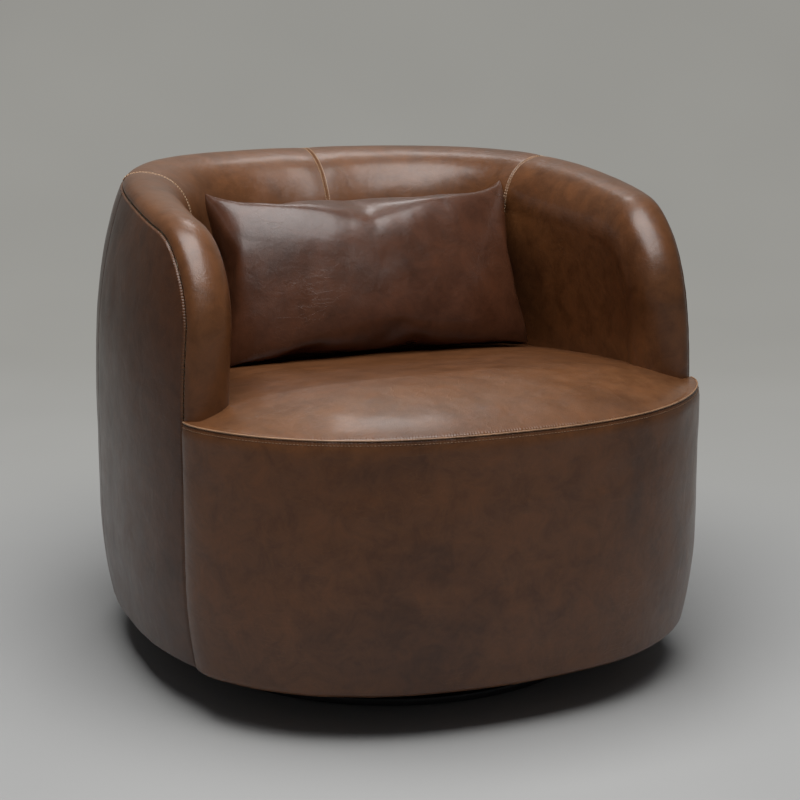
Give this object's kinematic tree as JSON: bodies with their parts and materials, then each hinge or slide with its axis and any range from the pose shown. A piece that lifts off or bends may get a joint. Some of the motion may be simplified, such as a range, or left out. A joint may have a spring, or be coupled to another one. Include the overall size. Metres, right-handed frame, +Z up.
{
  "type": "leather swivel armchair",
  "caption": "Barrel-shaped leather armchair with rolled arms and a loose lumbar pillow, swivelling on a low round floor base.",
  "frame": {"origin": "on the floor, at the centre of the object's footprint, 4 mm from the swivel's upright axis", "axes": "+Z up, -Y the way the chair faces, +X to the sitter's left"},
  "size_m": [0.8628, 0.9195, 0.7236],
  "materials": {
    "leather": "semi-gloss waxed brown leather",
    "pillow_leather": "semi-gloss waxed brown leather",
    "foam": "open-cell foam in a thin wrap",
    "plywood": "raw plywood",
    "liner": "dense upholstery board",
    "dust_cloth": "black non-woven cloth",
    "deck_cloth": "woven deck cloth",
    "black_base": "black satin",
    "steel": "zinc plated",
    "rubber": "matte"
  },
  "bodies": {
    "base": {"base_plinth": "black_base", "floor_glide_1": "rubber", "floor_glide_2": "rubber", "floor_glide_3": "rubber", "floor_glide_4": "rubber", "floor_glide_5": "rubber", "lower_screw_1": "steel", "lower_screw_2": "steel", "lower_screw_3": "steel", "pivot_bolt": "steel", "plinth_riser": "black_base", "swivel_lower_plate": "steel"},
    "ball_race": {"ball_cage": "steel"},
    "chair": {"arm_facing_left": "leather", "arm_facing_right": "leather", "arm_post_left": "plywood", "arm_post_right": "plywood", "bottom_board": "plywood", "deck_cloth": "deck_cloth", "dust_cover": "dust_cloth", "front_board": "plywood", "front_border": "leather", "front_foam": "foam", "front_rib_1": "plywood", "front_rib_2": "plywood", "inner_pad_back": "foam", "inner_pad_left": "foam", "inner_pad_right": "foam", "inside_back_left": "leather", "inside_back_right": "leather", "outer_liner_back": "liner", "outer_liner_left": "liner", "outer_liner_right": "liner", "outside_arm_left": "leather", "outside_arm_right": "leather", "outside_back": "leather", "roll_foam_back": "foam", "roll_foam_left": "foam", "roll_foam_right": "foam", "seat_foam": "foam", "seat_ring": "plywood", "seat_spring_1": "steel", "seat_spring_2": "steel", "seat_spring_3": "steel", "seat_spring_4": "steel", "seat_top_cover": "leather", "swivel_upper_plate": "steel", "top_rail": "plywood", "upper_bolt_1": "steel", "upper_bolt_2": "steel", "upper_bolt_3": "steel", "upper_bolt_4": "steel", "wall_rib_1": "plywood", "wall_rib_2": "plywood", "wall_rib_3": "plywood", "wall_rib_4": "plywood", "wall_rib_5": "plywood", "wall_rib_6": "plywood", "wall_rib_7": "plywood"},
    "pillow": {"lumbar_pillow": "pillow_leather"}
  },
  "joints": [
    {"name": "seat_swivel", "type": "hinge", "parent": "base", "child": "chair", "pos_m": [0, 0, 0.0481], "axis": [0, 0, 1], "continuous": true},
    {"name": "ball_roll", "type": "hinge", "parent": "base", "child": "ball_race", "pos_m": [0, 0, 0.0481], "axis": [0, 0, 1], "continuous": true},
    {"name": "pillow_lift", "type": "slide", "parent": "chair", "child": "pillow", "axis": [0, 0, 1], "range_m": [0, 0.4]}
  ],
  "couplings": [
    {"joint": "ball_roll", "follows": "seat_swivel", "ratio": 0.5}
  ]
}
